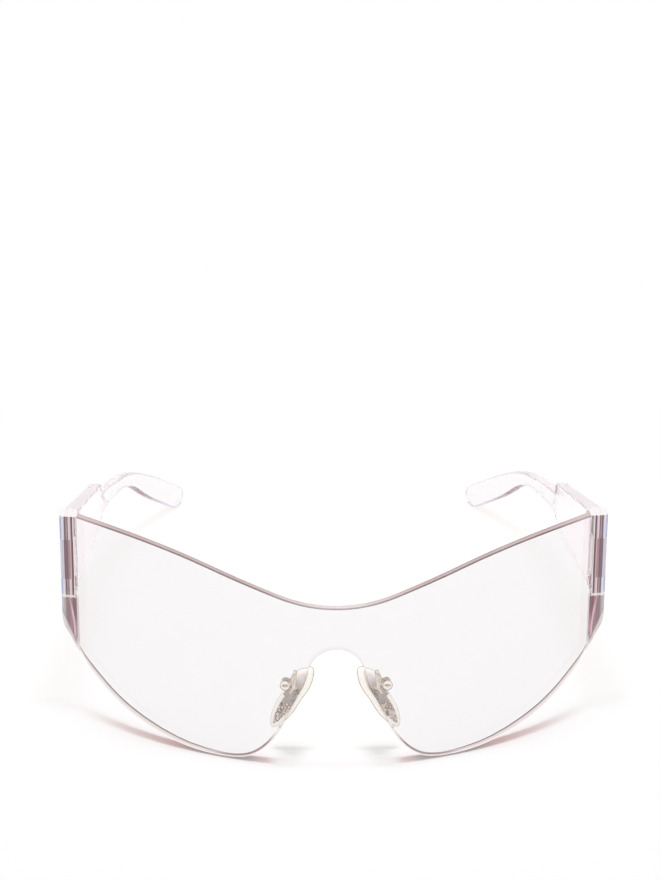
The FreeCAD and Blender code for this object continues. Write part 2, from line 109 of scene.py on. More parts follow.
class Finish:
    """A node tree for a surface or the surroundings."""

    def __init__(self, owner):
        owner.use_nodes = True
        self.owner = owner
        self.tree = owner.node_tree
        self.tree.nodes.clear()

    def node(self, kind, settings=None, inputs=None, output=0):
        """Adds a node: its settings first, then the values and links of its sockets."""
        made = self.tree.nodes.new(kind)
        for name, value in (settings or {}).items():
            if name == "stops":
                self.set_stops(made.color_ramp, value)
            else:
                setattr(made, name, value)
        for key, value in (inputs or {}).items():
            if isinstance(value, Link):
                self.tree.links.new(value.socket, made.inputs[key])
            else:
                made.inputs[key].default_value = value
        return Link(self, made.outputs[output]) if made.outputs else None

    def set_stops(self, ramp, stops):
        while len(ramp.elements) < len(stops):
            ramp.elements.new(1.0)
        for element, (place, colour) in zip(ramp.elements, stops):
            element.position = place
            element.color = rgb(*colour)

    def place(self):
        """Object coordinates, which stay with the piece as it moves."""
        return self.node("ShaderNodeTexCoord", output="Object")

    def facing(self):
        """The way a face points, in the piece's own frame."""
        return self.node("ShaderNodeTexCoord", output="Normal")

    def axis(self, vector, name):
        """The X, Y or Z part of a vector."""
        return self.node("ShaderNodeSeparateXYZ", {}, {0: vector}, name)

    def vector(self, operation, inputs, output="Vector"):
        return self.node("ShaderNodeVectorMath", {"operation": operation}, inputs, output)

    def noise(self, scale, detail):
        return self.node("ShaderNodeTexNoise", {}, {
            "Vector": self.place(), "Scale": scale, "Detail": detail, "Roughness": 0.5}, "Fac")

    def outline(self):
        """0 where a face is seen square on, 1 where it turns away."""
        return self.node("ShaderNodeLayerWeight", {}, {"Blend": 0.5}, "Facing")

    def bump(self, height, strength, depth):
        return self.node("ShaderNodeBump", {}, {
            "Strength": strength, "Distance": depth, "Height": height}, "Normal")

    def mix(self, amount, first, second):
        return self.node("ShaderNodeMix", {"data_type": "RGBA"}, {0: amount, 6: first, 7: second}, 2)

    def step(self, value, span, start=0.0, end=1.0):
        """Goes smoothly from start to end as the value crosses the span."""
        return self.node("ShaderNodeMapRange", {"interpolation_type": "SMOOTHSTEP"}, {
            "Value": value, "From Min": span[0], "From Max": span[1],
            "To Min": start, "To Max": end})

    def ramp(self, value, stops):
        return self.node("ShaderNodeValToRGB", {"stops": stops}, {0: value})

    def clear(self, colour):
        return self.node("ShaderNodeBsdfTransparent", {}, {"Color": colour})

    def emission(self, colour, strength=1.0):
        return self.node("ShaderNodeEmission", {}, {"Color": colour, "Strength": strength})

    def principled(self, colour, roughness, normal, inputs):
        common = {"Base Color": colour, "Roughness": roughness, "Normal": normal}
        return self.node("ShaderNodeBsdfPrincipled", {}, {**common, **inputs})

    def blend(self, amount, first, second):
        return self.node("ShaderNodeMixShader", {}, {0: amount, 1: first, 2: second})

    def ray(self, *names):
        """1 for rays of the named kinds, 0 for others."""
        kinds = self.node("ShaderNodeLightPath").socket.node.outputs
        found = Link(self, kinds[names[0]])
        for name in names[1:]:
            found = found.larger(Link(self, kinds[name]))
        return found

    def surface(self, shader, volume=None):
        """Ends the tree in the output of a material or of the world."""
        world = isinstance(self.owner, bpy.types.World)
        inputs = {"Surface": shader}
        if volume:
            inputs["Volume"] = volume
        self.node("ShaderNodeOutputWorld" if world else "ShaderNodeOutputMaterial", {}, inputs)


def new_finish(name):
    return Finish(bpy.data.materials.new(name))


# Clear plastics

LEAN = math.radians(7.962)
# The lens's axis leans back with the glasses; LENS_CENTRE is a point on it
LENS_AXIS = Vector((0.0, math.sin(LEAN), math.cos(LEAN)))
LENS_CENTRE = Vector((0.0, 18.273 * MM, -12.855 * MM))
PLASTIC_IOR = 1.5
# Noises are given as scale and detail
FACE_WAVES = (90.0, 2.0)
FACE_WAVE_STRENGTH = 0.02
FACE_WAVE_DEPTH = 0.2 * MM
# Polished faces are dulled by handling where this noise is high
HANDLING_MARKS = (160.0, 4.0)
HANDLING_SPAN = (0.55, 0.80)
HANDLING_ROUGHNESS = 0.05
# A flank faces sideways
FLANK_TURN = (0.80, 0.95)
# The share of a cover's tone that is painted on as glow, standing in for light caught in the plastic
PAINTED_GLOW_SHARE = 0.30


class ClearPlastic(Finish):
    """Polished clear plastic: a faint tint on its faces, a deeper one along the light's path."""

    def __init__(self, name, tint, fading):
        super().__init__(bpy.data.materials.new(name))
        # fading is how fast red, green and blue die away in the plastic, per metre
        self.fading = fading
        self.tint = tint
        self.tone = tint
        self.point = self.place()
        self.normal = self.bump(self.noise(*FACE_WAVES), FACE_WAVE_STRENGTH, FACE_WAVE_DEPTH)
        self.gloss = self.node("ShaderNodeMapRange", {}, {
            "Value": self.noise(*HANDLING_MARKS), "From Min": HANDLING_SPAN[0],
            "From Max": HANDLING_SPAN[1], "To Min": 0.0, "To Max": HANDLING_ROUGHNESS})
        self.upright = self.along(self.facing(), LENS_AXIS)
        self.height = self.along(self.between(self.point, LENS_CENTRE), LENS_AXIS)
        self.aside = abs(self.axis(self.point, "X"))
        self.depth = self.axis(self.point, "Y")

    def along(self, first, second):
        return self.vector("DOT_PRODUCT", {0: first, 1: second}, "Value")

    def between(self, first, second):
        return self.vector("SUBTRACT", {0: first, 1: second})

    def flank(self):
        """1 on the sides that face away from the middle of the glasses or towards it."""
        return self.step(abs(self.axis(self.facing(), "X")), FLANK_TURN)

    def cover(self, colour, roughness, glow=BLACK):
        """The look of a face painted in one opaque tone in place of what would show through it, as
        painted light and shade; glow is painted light.
        """
        return self.principled(colour, roughness, self.normal, {
            "IOR": PLASTIC_IOR, "Emission Color": glow, "Emission Strength": 1.0})

    def painted_glow_cover(self, colour, roughness):
        """A cover whose tone is also painted on as glow, standing in for light from inside the
        plastic.
        """
        return self.cover(colour, roughness, self.mix(PAINTED_GLOW_SHARE, BLACK, colour))

    def glass(self):
        return self.principled(self.tone, self.gloss, self.normal, {
            "IOR": PLASTIC_IOR, "Transmission Weight": 1.0})

    def finished(self, look, through):
        """Gives the plastic its look, its depth, and the light that passes on to the floor."""
        mixed = self.blend(self.ray("Is Shadow Ray", "Is Diffuse Ray"), look, through)
        density = max(self.fading)
        kept = rgb(*[1.0 - rate / density for rate in self.fading])
        volume = self.node("ShaderNodeVolumeAbsorption", {}, {"Color": kept, "Density": density})
        self.surface(mixed, volume)
        return self.owner


# Lens

LENS_TINT = rgb(0.925, 0.915, 0.922)
LENS_FADING = (1.5, 4.0, 3.4)
LENS_SHADOW = rgb(0.990, 0.985, 0.987)
LENS_RADIUS = 100.0 * MM
LENS_THICKNESS = 2.7 * MM

# How nearly a face points straight away from the lens's axis or at it
RIM_TURN = (0.97, 0.90)
FACE_TURN = (0.97, 0.99)

# Painted tones of the rim across the sheet, from 0 at the front face to 1 at the rear face: its deep
# rosy tint, with painted dark lines of shade and pale painted highlights
PAINTED_UPPER_RIM_SIDES = [
    (0.00, (0.14, 0.08, 0.08)), (0.16, (0.18, 0.11, 0.11)), (0.22, (0.60, 0.42, 0.41)),
    (0.50, (0.52, 0.37, 0.36)), (0.74, (0.42, 0.32, 0.32)), (0.80, (0.20, 0.15, 0.15)),
    (1.00, (0.20, 0.16, 0.16))]
PAINTED_UPPER_RIM_MIDDLE = [
    (0.00, (0.38, 0.31, 0.31)), (0.16, (0.50, 0.44, 0.44)), (0.22, (0.80, 0.70, 0.68)),
    (0.74, (0.82, 0.73, 0.72)), (0.82, (0.50, 0.44, 0.44)), (1.00, (0.56, 0.50, 0.50))]
# The lower rim's tones are painted on as glow
PAINTED_LOWER_RIM_GLOW = [
    (0.00, (0.96, 0.90, 0.88)), (0.14, (0.94, 0.86, 0.84)), (0.20, (0.74, 0.64, 0.63)),
    (0.66, (0.58, 0.48, 0.48)), (0.74, (0.24, 0.18, 0.18)), (1.00, (0.20, 0.15, 0.15))]
RIM_COVER = 0.90
RIM_ROUGHNESS = 0.22
LOWER_HALF = (36.0 * MM, 30.0 * MM)
LOWER_RIM_BASE = rgb(0.08, 0.06, 0.06)
MIDDLE_TO_SIDES = (2.0 * MM, 26.0 * MM)
# Towards the posts the upper rim's painted shade goes paler
RIM_END = (56.0 * MM, 70.0 * MM)
RIM_END_SHARE = 0.6
RIM_END_TONE = rgb(0.66, 0.52, 0.52)
STREAKS = (240.0, 3.0)
UPPER_STREAK_SHARE = 0.25
UPPER_STREAK_TONE = rgb(0.40, 0.30, 0.30)
LOWER_STREAK_SHARE = 0.20
LOWER_STREAK_TONE = rgb(0.44, 0.34, 0.34)

# Heights in mm at places given in mm from the middle: the front face's lower border, and how far
# above it reaches the painted band that stands in for the rim's far edge as it shows through the
# front face
HALF_WIDTH = 75.0
TALLEST = 30.0
LOWER_BORDER = [
    (17.5, 5.56), (18.73, 4.16), (19.71, 3.23), (20.69, 2.45), (21.67, 1.81), (23.57, 0.95),
    (25.83, 0.44), (27.29, 0.31), (30.05, 0.30), (34.77, 0.63), (38.93, 1.28), (42.56, 2.16),
    (47.07, 3.63), (51.85, 5.60), (54.95, 7.14), (56.72, 8.15), (58.51, 9.31), (60.32, 10.63),
    (62.28, 12.20), (65.88, 15.41), (67.05, 16.61), (68.05, 17.77), (68.86, 18.87),
    (70.00, 20.77)]
EDGE_RISE = [
    (22.0, 0.50), (32.0, 0.95), (45.0, 1.45), (57.0, 1.92), (66.0, 2.10), (68.0, 1.85),
    (70.0, 1.35)]

# Painted tones of the band between the two, from 0 at the border to BAND_SCALE at the far edge: a
# pale painted highlight, then a dark painted line of shade, all painted on as glow over a dark base
BAND_SCALE = 0.8
PAINTED_BAND_TONES = [
    (0.00, (0.92, 0.87, 0.86)), (0.16, (0.84, 0.77, 0.76)), (0.42, (0.76, 0.67, 0.66)),
    (0.62, (0.60, 0.51, 0.51)), (0.68, (0.46, 0.39, 0.39)), (0.71, (0.07, 0.05, 0.05)),
    (0.84, (0.07, 0.05, 0.05)), (0.87, (0.80, 0.78, 0.78))]
BAND_TOP = (1.13, 1.07)
BAND_START = (27.0 * MM, 36.0 * MM)
BAND_FRONT_HALF = (0.5, 0.4)
BAND_COVER = 0.92
BAND_BASE = rgb(0.04, 0.03, 0.03)
BAND_ROUGHNESS = 0.2

# Beside the nose the sheet ends a short way below its upper edge, so its rim is all but clear
NOSE_SIDE = (18.5 * MM, 15.0 * MM)
NOSE_TOP = (39.0 * MM, 36.0 * MM)
NOSE_RIM = rgb(0.90, 0.885, 0.875)

# A rim high above the floor throws hardly any shadow; one that meets the floor, a dark one
RIM_SHADOW_HEIGHT = (20.0 * MM, 2.0 * MM)
FAINT_SHADOW = 0.10
FULL_SHADOW = 1.0
RIM_SHADOW = rgb(0.30, 0.03, 0.01)
CONTACT_HEIGHT = (2.2 * MM, 0.6 * MM)
CONTACT_SHADOW = rgb(0.06, 0.01, 0.01)


def height_at(finish, across, rows):
    """A height in metres read from rows of place and height in mm."""
    stops = [(place / HALF_WIDTH, (height / TALLEST,) * 3) for place, height in rows]
    return finish.ramp(across / (HALF_WIDTH * MM), stops) * (TALLEST * MM)


def lens_finish():
    """The lens: clear faces, and a rim painted with its deep tint and with painted shade, highlights
    and glow, least where it is short.
    """
    finish = ClearPlastic("lens_rose", LENS_TINT, LENS_FADING)
    finish.gloss = 0.0
    arm = finish.between(finish.point, LENS_CENTRE)
    lifted = finish.vector("SCALE", {0: tuple(LENS_AXIS), "Scale": finish.height})
    spoke = finish.between(arm, lifted)
    radial = finish.vector("NORMALIZE", {0: spoke})
    radius = finish.vector("LENGTH", {0: spoke}, "Value")
    turned_out = abs(finish.along(radial, finish.facing()))
    rim = finish.step(turned_out, RIM_TURN)
    # 0 at the front face, 1 at the rear face
    inward = (LENS_RADIUS - radius) / LENS_THICKNESS
    low = finish.step(finish.height, LOWER_HALF)
    streak = finish.noise(*STREAKS)
    upper = finish.mix(finish.step(finish.aside, MIDDLE_TO_SIDES),
                       finish.ramp(inward, PAINTED_UPPER_RIM_MIDDLE), finish.ramp(inward, PAINTED_UPPER_RIM_SIDES))
    upper = finish.mix(streak * UPPER_STREAK_SHARE, upper, UPPER_STREAK_TONE)
    upper = finish.mix(finish.step(finish.aside, RIM_END) * RIM_END_SHARE, upper, RIM_END_TONE)
    lower = finish.ramp(inward, PAINTED_LOWER_RIM_GLOW)
    lower = finish.mix(streak * LOWER_STREAK_SHARE, lower, LOWER_STREAK_TONE)
    # the lower border's tones are painted on as glow, standing in for light from inside the sheet
    edge = finish.cover(finish.mix(low, upper, LOWER_RIM_BASE), RIM_ROUGHNESS,
                        finish.mix(low, BLACK, lower))
    look = finish.blend(rim * RIM_COVER, finish.glass(), edge)
    # there a pale band with a dark far edge is painted on the front face as glow, standing in for
    # the rim as it shows through it
    border = height_at(finish, finish.aside, LOWER_BORDER)
    climb = (finish.height - border) / height_at(finish, finish.aside, EDGE_RISE)
    band = finish.ramp(climb * BAND_SCALE, PAINTED_BAND_TONES)
    within = finish.step(climb, BAND_TOP) * finish.step(finish.aside, BAND_START)
    within = within * finish.step(turned_out, FACE_TURN) * finish.step(inward, BAND_FRONT_HALF)
    look = finish.blend(within * BAND_COVER, look, finish.cover(BAND_BASE, BAND_ROUGHNESS, band))
    short = finish.step(finish.aside, NOSE_SIDE) * finish.step(finish.height, NOSE_TOP)
    look = finish.blend(rim * short, look, finish.clear(NOSE_RIM))
    shade = finish.step(finish.height, RIM_SHADOW_HEIGHT, FAINT_SHADOW, FULL_SHADOW)
    shade = rim * (1.0 - short) * shade
    contact = finish.step(finish.height, CONTACT_HEIGHT)
    deep = finish.blend(contact, finish.clear(RIM_SHADOW), finish.clear(CONTACT_SHADOW))
    return finish.finished(look, finish.blend(shade, finish.clear(LENS_SHADOW), deep))


# End posts

POST_TINT = rgb(0.975, 0.960, 0.962)
POST_FADING = (4.0, 7.5, 6.5)
POST_SHADOW = rgb(0.99, 0.985, 0.98)
POST_OUTSIDE = 74.8 * MM
POST_WIDTH = 4.8 * MM
POST_ROUGHNESS = 0.12

# Painted stripes across a post, from 0 at its outer side to 1 at the lens, at its own knuckles and
# between them, where the temple's knuckle lies: painted blue and white highlights and dark lines of
# shade
KNUCKLE_PAINTED_STRIPES = [
    (0.00, (0.50, 0.50, 0.62)), (0.05, (0.27, 0.29, 0.55)), (0.09, (0.45, 0.55, 0.95)),
    (0.15, (0.62, 0.72, 0.98)), (0.17, (0.84, 0.80, 0.82)), (0.26, (0.70, 0.62, 0.64)),
    (0.28, (0.20, 0.12, 0.13)), (0.35, (0.14, 0.07, 0.08)), (0.38, (0.42, 0.32, 0.32)),
    (0.43, (0.40, 0.30, 0.31)), (0.45, (0.16, 0.09, 0.10)), (0.49, (0.20, 0.12, 0.13)),
    (0.51, (0.78, 0.64, 0.71)), (0.63, (0.72, 0.55, 0.61)), (0.66, (0.22, 0.10, 0.11)),
    (0.75, (0.10, 0.04, 0.05)), (0.78, (0.96, 0.93, 0.93)), (0.86, (0.97, 0.95, 0.94)),
    (0.90, (0.78, 0.77, 0.75)), (1.00, (0.93, 0.90, 0.90))]
BETWEEN_PAINTED_STRIPES = [
    (0.00, (0.74, 0.67, 0.65)), (0.14, (0.60, 0.54, 0.54)), (0.17, (0.42, 0.45, 0.74)),
    (0.22, (0.78, 0.76, 0.84)), (0.25, (0.20, 0.12, 0.14)), (0.40, (0.22, 0.14, 0.16)),
    (0.44, (0.16, 0.09, 0.10)), (0.48, (0.36, 0.24, 0.26)), (0.60, (0.40, 0.27, 0.29)),
    (0.63, (0.80, 0.56, 0.62)), (0.67, (0.24, 0.11, 0.12)), (0.76, (0.10, 0.04, 0.05)),
    (0.79, (0.96, 0.93, 0.93)), (0.86, (0.97, 0.95, 0.94)), (0.90, (0.78, 0.77, 0.75)),
    (1.00, (0.93, 0.90, 0.90))]
BETWEEN_FOOT = (41.5 * MM, 41.9 * MM)
BETWEEN_TOP = (53.2 * MM, 52.8 * MM)
STRIPE_COVER = 0.86

# The outer sides stay clear
OUTER_SIDE = (0.30, 0.20)
OUTER_CLEARNESS = 0.9

# The fin below the knuckles is painted with light and shade and painted glow, darkest towards the
# lens
FIN_TOP = 36.4 * MM
FIN_START = (FIN_TOP, FIN_TOP - 0.3 * MM)
FIN_COVER = 0.88
FIN_LIGHT_AND_SHADE = [
    (0.00, (0.66, 0.62, 0.62)), (0.14, (0.50, 0.44, 0.45)), (0.34, (0.28, 0.20, 0.22)),
    (0.58, (0.32, 0.20, 0.23)), (0.72, (0.28, 0.13, 0.16)), (0.80, (0.18, 0.08, 0.09))]

# A painted pink highlight streak bends down the fin; its place across the post is a curve of the
# drop
STREAK_START = 0.46
STREAK_SLOPE = 1.9
STREAK_BEND = 3.2
STREAK_WIDTH = (0.09, 0.01)
STREAK_GROWTH = (0.03, 0.14)
STREAK_LEAST = 0.4
STREAK_MOST = 1.0
STREAK_HIGHLIGHT_TONE = rgb(0.86, 0.56, 0.65)

# The fin's slanting lower edge is painted as a dark line of shade above a pale painted highlight
# band
EDGE_SLANT = 11.9 * MM
EDGE_LINE = (34.4 * MM, 33.0 * MM)
EDGE_SHADE_TONE = rgb(0.34, 0.26, 0.27)
EDGE_BAND = (33.4 * MM, 32.4 * MM)
EDGE_HIGHLIGHT_TONE = rgb(0.74, 0.68, 0.67)

# A pale painted highlight, also painted on as glow, parts the fin from the knuckle above it
LIP_HEIGHT = FIN_TOP + 0.35 * MM
LIP_REACH = (0.45 * MM, 0.25 * MM)
LIP_COVER = 0.8
LIP_HIGHLIGHT_TONE = rgb(0.93, 0.89, 0.87)
LIP_GLOW = rgb(0.20, 0.19, 0.18)

# The side next to the lens is all but clear
INNER_SIDE = (0.80, 0.84)
INNER_CLEARNESS = 0.75
INNER_TONE = rgb(0.985, 0.975, 0.975)

# The cap is the post's flat top, painted pale as light on a face that looks up
CAP_TURN = (0.80, 0.95)
CAP_FOOT = (58.5 * MM, 59.2 * MM)
CAP_COVER = 0.9
CAP_PAINTED_LIGHT = rgb(0.93, 0.87, 0.86)
CAP_ROUGHNESS = 0.25


def post_finish():
    """The end posts: knuckles with painted stripes of highlight and shade under a cap painted pale,
    and a fin below them painted deep with shade and glow.
    """
    finish = ClearPlastic("post_mauve", POST_TINT, POST_FADING)
    share = (POST_OUTSIDE - finish.aside) / POST_WIDTH
    between = finish.step(finish.height, BETWEEN_FOOT) * finish.step(finish.height, BETWEEN_TOP)
    # the stripes are painted highlights and shade, also painted on as glow
    stripes = finish.mix(between, finish.ramp(share, KNUCKLE_PAINTED_STRIPES),
                         finish.ramp(share, BETWEEN_PAINTED_STRIPES))
    shown = 1.0 - finish.flank() * finish.step(share, OUTER_SIDE) * OUTER_CLEARNESS
    look = finish.blend(shown * STRIPE_COVER, finish.glass(),
                        finish.painted_glow_cover(stripes, POST_ROUGHNESS))
    body = finish.ramp(share, FIN_LIGHT_AND_SHADE)
    drop = (FIN_TOP - finish.height) / FIN_TOP
    streak_at = STREAK_START + drop * STREAK_SLOPE - drop * drop * STREAK_BEND
    streak = finish.step(abs(share - streak_at), STREAK_WIDTH)
    streak = streak * finish.step(drop, STREAK_GROWTH, STREAK_LEAST, STREAK_MOST)
    body = finish.mix(streak, body, STREAK_HIGHLIGHT_TONE)
    slant = finish.height + share * EDGE_SLANT
    body = finish.mix(finish.step(slant, EDGE_LINE), body, EDGE_SHADE_TONE)
    body = finish.mix(finish.step(slant, EDGE_BAND), body, EDGE_HIGHLIGHT_TONE)
    fin = finish.step(finish.height, FIN_START)
    look = finish.blend(shown * fin * FIN_COVER, look, finish.painted_glow_cover(body, POST_ROUGHNESS))
    lip = finish.step(abs(finish.height - LIP_HEIGHT), LIP_REACH)
    look = finish.blend(lip * LIP_COVER, look, finish.cover(LIP_HIGHLIGHT_TONE, POST_ROUGHNESS, LIP_GLOW))
    inner = finish.step(share, INNER_SIDE)
    look = finish.blend(inner * INNER_CLEARNESS, look, finish.clear(INNER_TONE))
    cap = finish.step(abs(finish.upright), CAP_TURN) * finish.step(finish.height, CAP_FOOT)
    look = finish.blend(cap * CAP_COVER, look, finish.cover(CAP_PAINTED_LIGHT, CAP_ROUGHNESS))
    return finish.finished(look, finish.clear(POST_SHADOW))


# Temples

TEMPLE_TINT = rgb(0.985, 0.974, 0.982)
TEMPLE_FADING = (6.0, 10.0, 8.5)
TEMPLE_SHADOW = rgb(0.962, 0.945, 0.920)
TEMPLE_ROUGHNESS = 0.3
BLOCK_END = (18.0 * MM, 8.0 * MM)

# Tones are painted on the block's flat top, as its deep tint and painted shade; along the arm's
# rounded top, as a painted highlight; and on the block's flanks, as painted light and glow
CROWN_TURN = (0.85, 0.97)
CROWN_COVER = 0.5
CROWN_TINT_AND_SHADE = rgb(0.78, 0.68, 0.74)
CREST_TURN = (0.30, 0.60)
CREST_START = (16.0 * MM, 26.0 * MM)
CREST_COVER = 0.6
CREST_HIGHLIGHT_TONE = rgb(0.92, 0.86, 0.91)
CREST_GLOW = rgb(0.05, 0.045, 0.05)
FLANK_COVER = 0.35
FLANK_PAINTED_LIGHT = rgb(0.93, 0.89, 0.92)
FLANK_GLOW = rgb(0.42, 0.385, 0.41)

# The sole is the underside of the tip, painted with shade and reflections and with painted glow; its
# tones run back from TIP_START over TIP_LENGTH
SOLE_TURN = (-0.30, -0.60)
SOLE_START = (48.0 * MM, 55.0 * MM)
SOLE_COVER = 0.8
TIP_START = 50.0 * MM
TIP_LENGTH = 28.0 * MM
SOLE_SHADE_AND_REFLECTIONS = [
    (0.00, (0.40, 0.29, 0.35)), (0.28, (0.28, 0.18, 0.23)), (0.45, (0.50, 0.40, 0.47)),
    (0.65, (0.74, 0.66, 0.74)), (0.80, (0.70, 0.64, 0.70)), (0.86, (0.30, 0.33, 0.28)),
    (1.00, (0.42, 0.45, 0.40))]


def temple_finish():
    """The temples: pale lilac plastic, painted deeper on top of the block and along the tip's sole
    with tint and painted shade, with painted highlights and glow along the arm's top and on the
    block's flanks.
    """
    finish = ClearPlastic("temple_lilac", TEMPLE_TINT, TEMPLE_FADING)
    block = finish.step(finish.depth, BLOCK_END)
    # the block is thick enough to be tinted by its depth alone
    finish.tone = finish.mix(block, finish.tint, WHITE)
    crown = block * finish.step(finish.upright, CROWN_TURN)
    look = finish.blend(crown * CROWN_COVER, finish.glass(),
                        finish.cover(CROWN_TINT_AND_SHADE, TEMPLE_ROUGHNESS))
    crest = finish.step(finish.upright, CREST_TURN) * finish.step(finish.depth, CREST_START)
    look = finish.blend(crest * CREST_COVER, look,
                        finish.cover(CREST_HIGHLIGHT_TONE, TEMPLE_ROUGHNESS, CREST_GLOW))
    look = finish.blend(block * finish.flank() * FLANK_COVER, look,
                        finish.cover(FLANK_PAINTED_LIGHT, TEMPLE_ROUGHNESS, FLANK_GLOW))
    sole = finish.step(finish.upright, SOLE_TURN) * finish.step(finish.depth, SOLE_START)
    tones = finish.ramp((finish.depth - TIP_START) / TIP_LENGTH, SOLE_SHADE_AND_REFLECTIONS)
    look = finish.blend(sole * SOLE_COVER, look, finish.painted_glow_cover(tones, TEMPLE_ROUGHNESS))
    return finish.finished(look, finish.clear(TEMPLE_SHADOW))


# Lens bushes

BUSH_TINT = rgb(0.98, 0.98, 0.98)
BUSH_FADING = (4.0, 4.0, 4.0)


def bush_finish():
    """The clear bushes round the lens screws."""
    finish = ClearPlastic("bush_clear", BUSH_TINT, BUSH_FADING)
    return finish.finished(finish.glass(), finish.clear(finish.tint))


# Metals and silicone

SMALL_PART_SHADOW = rgb(1.0, 0.985, 0.965)
CLOUD_ROUGHNESS = 0.10
METAL_CLOUDS = (900.0, 4.0)
# Where a face turns away it is painted dark as shade; the metal glows in its own tone as painted
# light
METAL_OUTLINE = (0.35, 0.75)
METAL_OUTLINE_SHADE = rgb(0.16, 0.12, 0.10)
METAL_SHARE = 0.62
METAL_GLOW = 0.19
SCRATCHES = (5200.0, 2.0)
SCRATCH_DEPTH = 0.02 * MM


def soft_shadow(finish, shader, sheer):
    """Thins the shadow of a small part, as the wide lamp of a studio does."""
    clear = finish.clear(SMALL_PART_SHADOW)
    return finish.blend(finish.ray("Is Shadow Ray") * sheer, shader, clear)


def metal(name, light, dark, roughness, scratch, sheer, glow=METAL_GLOW):
    """Polished or turned metal in clouds of a light and a dark tone, with painted shade along its
    outline and a painted glow in its own tone.
    """
    finish = new_finish(name)
    cloud = finish.noise(*METAL_CLOUDS)
    tone = finish.mix(cloud, light, dark)
    tone = finish.mix(finish.step(finish.outline(), METAL_OUTLINE), tone, METAL_OUTLINE_SHADE)
    gloss = roughness + CLOUD_ROUGHNESS * (cloud - 0.5)
    normal = finish.bump(finish.noise(*SCRATCHES), scratch, SCRATCH_DEPTH)
    shader = finish.principled(tone, gloss, normal, {
        "Metallic": METAL_SHARE, "Emission Color": tone, "Emission Strength": glow})
    finish.surface(soft_shadow(finish, shader, sheer))
    return finish.owner


SILICONE_CLOUDS = (500.0, 3.0)
SILICONE_WHITE = rgb(1.0, 0.965, 0.93)
SILICONE_CREAM = rgb(0.97, 0.935, 0.89)
# Where a face turns away it is painted dark as shade; the rubber glows in its own tone as painted
# light
SILICONE_OUTLINE = (0.38, 0.72)
SILICONE_OUTLINE_SHADE = rgb(0.34, 0.28, 0.22)
SILICONE_ROUGHNESS = 0.28
SILICONE_IOR = 1.42
SILICONE_CLEARNESS = 0.2
SILICONE_GLOW = 0.26
SILICONE_SHADOW = rgb(0.960, 0.948, 0.930)
GRAIN = (2500.0, 3.0)
GRAIN_STRENGTH = 0.1
GRAIN_DEPTH = 0.05 * MM


def silicone(name):
    """Soft clear rubber, near white where it is seen square on, with painted shade along its outline
    and a painted glow in its own tone.
    """
    finish = new_finish(name)
    cloud = finish.noise(*SILICONE_CLOUDS)
    tone = finish.mix(cloud, SILICONE_WHITE, SILICONE_CREAM)
    outline = finish.step(finish.outline(), SILICONE_OUTLINE)
    tone = finish.mix(outline, tone, SILICONE_OUTLINE_SHADE)
    gloss = SILICONE_ROUGHNESS + CLOUD_ROUGHNESS * cloud
    normal = finish.bump(finish.noise(*GRAIN), GRAIN_STRENGTH, GRAIN_DEPTH)
    shader = finish.principled(tone, gloss, normal, {
        "IOR": SILICONE_IOR, "Transmission Weight": SILICONE_CLEARNESS,
        "Emission Color": tone, "Emission Strength": SILICONE_GLOW})
    clear = finish.clear(SILICONE_SHADOW)
    finish.surface(finish.blend(finish.ray("Is Shadow Ray"), shader, clear))
    return finish.owner


DENT_SCALE = 820.0
DENT_SPREAD = 0.85
DENT_STRENGTH = 0.9
DENT_DEPTH = 0.4 * MM
# Painted tones of a dent, from 0 at its middle outwards: painted glints and shade
DENT_GLINTS_AND_SHADE = [
    (0.00, (0.40, 0.33, 0.28)), (0.14, (0.92, 0.86, 0.81)), (0.28, (1.00, 0.95, 0.91)),
    (0.38, (0.20, 0.15, 0.12)), (0.52, (0.46, 0.37, 0.31)), (0.70, (0.84, 0.75, 0.68))]
DENTED_END = (14.8 * MM, 13.2 * MM)
SMOOTH_END = (17.0 * MM, 21.5 * MM)
SMOOTH_LOW_TONE = rgb(0.60, 0.54, 0.51)
SMOOTH_HIGH_TONE = rgb(0.98, 0.95, 0.95)
PLATE_CLOUDS = (1100.0, 2.0)
PLATE_CLOUD_SPAN = (0.40, 0.65)
PLATE_CLOUD_SHARE = 0.4
PLATE_CLOUD_TONE = rgb(0.62, 0.53, 0.46)
PLATE_ROUGHNESS = 0.30
PLATE_METAL_SHARE = 0.45
PLATE_GLOW = 0.20
PLATE_SHEER = 0.66


def pressed_plate(name):
    """The pad's metal plate: smooth at its upper end, pressed with small dents below that are
    painted with glints and shade, and glowing in its own tone as painted light.
    """
    finish = new_finish(name)
    point = finish.place()
    height = finish.axis(point, "Z")
    dents = finish.node("ShaderNodeTexVoronoi", {}, {
        "Vector": point, "Scale": DENT_SCALE, "Randomness": DENT_SPREAD}, "Distance")
    dented = finish.step(height, DENTED_END)
    cloud = finish.noise(*PLATE_CLOUDS)
    patches = PLATE_CLOUD_SHARE * finish.step(cloud, PLATE_CLOUD_SPAN)
    warm = finish.mix(patches, finish.ramp(dents, DENT_GLINTS_AND_SHADE), PLATE_CLOUD_TONE)
    cool = finish.mix(finish.step(height, SMOOTH_END), SMOOTH_LOW_TONE, SMOOTH_HIGH_TONE)
    tone = finish.mix(dented, cool, warm)
    gloss = PLATE_ROUGHNESS + CLOUD_ROUGHNESS * cloud
    normal = finish.bump(dents * dented, DENT_STRENGTH, DENT_DEPTH)
    shader = finish.principled(tone, gloss, normal, {
        "Metallic": PLATE_METAL_SHARE, "Emission Color": tone, "Emission Strength": PLATE_GLOW})
    finish.surface(soft_shadow(finish, shader, PLATE_SHEER))
    return finish.owner


# Studio

ROOM_LIGHT = grey(0.44)
DARK_SIDE = rgb(0.05, 0.035, 0.04)
